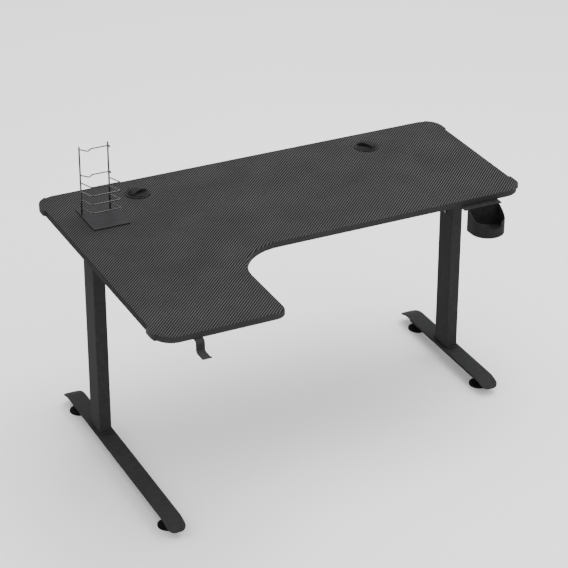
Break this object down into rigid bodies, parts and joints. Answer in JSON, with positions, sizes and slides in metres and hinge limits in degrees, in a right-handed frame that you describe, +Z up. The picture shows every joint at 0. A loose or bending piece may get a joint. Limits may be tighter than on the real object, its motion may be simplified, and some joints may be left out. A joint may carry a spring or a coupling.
{
  "type": "corner desk",
  "caption": "L-shaped corner desk on two steel T-legs, with cable grommets, cup holder, headphone hook and a wire rack on the top.",
  "frame": {"origin": "on the floor, at the centre of the bounding box in plan", "axes": "+X to the right along the back edge as seen by the user, +Y from the user to the back edge, +Z up"},
  "size_m": [1.412, 1.0443, 0.9787],
  "materials": {
    "laminated_board": "particle board wrapped in black ribbed carbon-look PVC film, satin",
    "edge_band": "black PVC edge banding, satin",
    "powder_coat": "black powder coat with a fine texture, satin",
    "coated_wire": "black dip-painted steel wire, semi-gloss",
    "moulded_plastic": "black injection-moulded ABS, fine spark texture",
    "glide_rubber": "black moulded rubber, matte",
    "black_oxide": "blackened steel screw heads",
    "zinc_steel": "bright zinc-plated steel"
  },
  "bodies": {
    "desk_frame": {"desktop_panel": "laminated_board", "left_edge_band": "edge_band", "right_edge_band": "edge_band", "back_edge_band": "edge_band", "left_foot_plate": "powder_coat", "left_foot_rail": "powder_coat", "left_column": "powder_coat", "left_column_base_plate": "powder_coat", "left_column_spigot": "powder_coat", "left_top_arm": "powder_coat", "right_foot_plate": "powder_coat", "right_foot_rail": "powder_coat", "right_column": "powder_coat", "right_column_base_plate": "powder_coat", "right_column_spigot": "powder_coat", "right_top_arm": "powder_coat", "rear_crossbar": "powder_coat", "front_crossbar": "powder_coat", "return_crossbar": "powder_coat", "left_rear_gusset": "powder_coat", "left_front_gusset": "powder_coat", "left_return_gusset": "powder_coat", "right_rear_gusset": "powder_coat", "right_front_gusset": "powder_coat", "headphone_hook": "powder_coat", "rack_base_plate": "powder_coat", "left_foot_bolt_1": "zinc_steel", "left_foot_bolt_2": "zinc_steel", "left_column_bolt_1": "black_oxide", "left_column_bolt_2": "black_oxide", "right_foot_bolt_1": "zinc_steel", "right_foot_bolt_2": "zinc_steel", "right_column_bolt_1": "black_oxide", "right_column_bolt_2": "black_oxide", "cup_holder_screw_1": "zinc_steel", "cup_holder_screw_2": "zinc_steel", "headphone_hook_screw_1": "zinc_steel", "headphone_hook_screw_2": "zinc_steel", "left_grommet_sleeve": "moulded_plastic", "right_grommet_sleeve": "moulded_plastic", "cup_holder": "moulded_plastic", "rack_base_liner": "glide_rubber", "rack_left_post": "coated_wire", "rack_right_post": "coated_wire", "rack_shelf_wire_1": "coated_wire", "rack_shelf_wire_2": "coated_wire", "rack_shelf_wire_3": "coated_wire", "rack_shelf_wire_4": "coated_wire", "rack_controller_cradle_1": "coated_wire", "rack_controller_cradle_2": "coated_wire"},
    "left_grommet_cap": {"left_grommet_cap": "moulded_plastic"},
    "right_grommet_cap": {"right_grommet_cap": "moulded_plastic"},
    "left_rear_glide": {"left_rear_glide_pad": "glide_rubber"},
    "left_rear_stud": {"left_rear_glide_stud": "zinc_steel"},
    "left_front_glide": {"left_front_glide_pad": "glide_rubber"},
    "left_front_stud": {"left_front_glide_stud": "zinc_steel"},
    "right_rear_glide": {"right_rear_glide_pad": "glide_rubber"},
    "right_rear_stud": {"right_rear_glide_stud": "zinc_steel"},
    "right_front_glide": {"right_front_glide_pad": "glide_rubber"},
    "right_front_stud": {"right_front_glide_stud": "zinc_steel"}
  },
  "joints": [
    {"name": "left_grommet_turn", "type": "hinge", "parent": "desk_frame", "child": "left_grommet_cap", "pos_m": [-0.4, 0.4225, 0.736], "axis": [0, 0, 1], "continuous": true},
    {"name": "right_grommet_turn", "type": "hinge", "parent": "desk_frame", "child": "right_grommet_cap", "pos_m": [0.4, 0.4225, 0.736], "axis": [0, 0, 1], "continuous": true},
    {"name": "left_rear_glide_height", "type": "slide", "parent": "desk_frame", "child": "left_rear_glide", "axis": [0, 0, -1], "range_m": [0, 0.01]},
    {"name": "left_rear_stud_turn", "type": "hinge", "parent": "left_rear_glide", "child": "left_rear_stud", "pos_m": [-0.621, 0.4325, 0.015], "axis": [0, 0, -1], "range_deg": [0, 2880]},
    {"name": "left_front_glide_height", "type": "slide", "parent": "desk_frame", "child": "left_front_glide", "axis": [0, 0, -1], "range_m": [0, 0.01]},
    {"name": "left_front_stud_turn", "type": "hinge", "parent": "left_front_glide", "child": "left_front_stud", "pos_m": [-0.621, -0.2865, 0.015], "axis": [0, 0, -1], "range_deg": [0, 2880]},
    {"name": "right_rear_glide_height", "type": "slide", "parent": "desk_frame", "child": "right_rear_glide", "axis": [0, 0, -1], "range_m": [0, 0.01]},
    {"name": "right_rear_stud_turn", "type": "hinge", "parent": "right_rear_glide", "child": "right_rear_stud", "pos_m": [0.621, 0.4325, 0.015], "axis": [0, 0, -1], "range_deg": [0, 2880]},
    {"name": "right_front_glide_height", "type": "slide", "parent": "desk_frame", "child": "right_front_glide", "axis": [0, 0, -1], "range_m": [0, 0.01]},
    {"name": "right_front_stud_turn", "type": "hinge", "parent": "right_front_glide", "child": "right_front_stud", "pos_m": [0.621, 0.0195, 0.015], "axis": [0, 0, -1], "range_deg": [0, 2880]}
  ],
  "couplings": [
    {"joint": "left_rear_stud_turn", "follows": "left_rear_glide_height", "rad_per_m": 5026.5},
    {"joint": "left_front_stud_turn", "follows": "left_front_glide_height", "rad_per_m": 5026.5},
    {"joint": "right_rear_stud_turn", "follows": "right_rear_glide_height", "rad_per_m": 5026.5},
    {"joint": "right_front_stud_turn", "follows": "right_front_glide_height", "rad_per_m": 5026.5}
  ]
}
